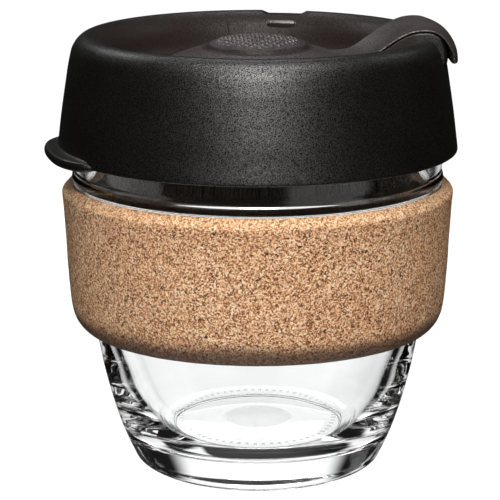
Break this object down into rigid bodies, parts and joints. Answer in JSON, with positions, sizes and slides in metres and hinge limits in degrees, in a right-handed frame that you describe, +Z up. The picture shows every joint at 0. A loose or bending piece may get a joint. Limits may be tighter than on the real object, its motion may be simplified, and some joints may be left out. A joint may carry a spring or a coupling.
{
  "type": "reusable glass travel cup",
  "caption": "Reusable glass travel cup with a cork heat band, a press-on lid with a raised drinking mouth, and a swivel plug whose hooked arm covers the drinking slot.",
  "frame": {"origin": "centre of the flat underside of the glass, where the cup stands", "axes": "+Z up along the cup's axis; +X towards the plug's arm and the drinking mouth when the plug is closed; +Y follows from the right-hand rule, and the parking notch lies near it"},
  "size_m": [0.0909, 0.088, 0.0992],
  "materials": {
    "clear_glass": "clear tempered glass, polished",
    "cork": "natural agglomerate cork, fine grain, matt",
    "lid_plastic": "black polypropylene with a fine spark-eroded grain",
    "plug_elastomer": "black thermoplastic elastomer, smooth satin"
  },
  "bodies": {
    "glass": {"glass_tumbler": "clear_glass"},
    "cork_band": {"cork_band": "cork"},
    "lid": {"lid": "lid_plastic"},
    "plug_hub": {"plug_hub": "plug_elastomer"},
    "plug_arm": {"plug_arm": "plug_elastomer"}
  },
  "joints": [
    {"name": "band_slide", "type": "slide", "parent": "glass", "child": "cork_band", "axis": [0, 0, -1], "range_m": [0, 0.031]},
    {"name": "lid_lift", "type": "slide", "parent": "glass", "child": "lid", "axis": [0, 0, 1], "range_m": [0, 0.045]},
    {"name": "plug_turn", "type": "hinge", "parent": "lid", "child": "plug_hub", "pos_m": [0, 0, 0.088], "axis": [0, 0, 1], "range_deg": [0, 78]},
    {"name": "arm_lift", "type": "hinge", "parent": "plug_hub", "child": "plug_arm", "pos_m": [0.02, 0, 0.0916], "axis": [0, -1, 0], "range_deg": [0, 50], "stiffness_Nm_per_rad": 0.02}
  ]
}
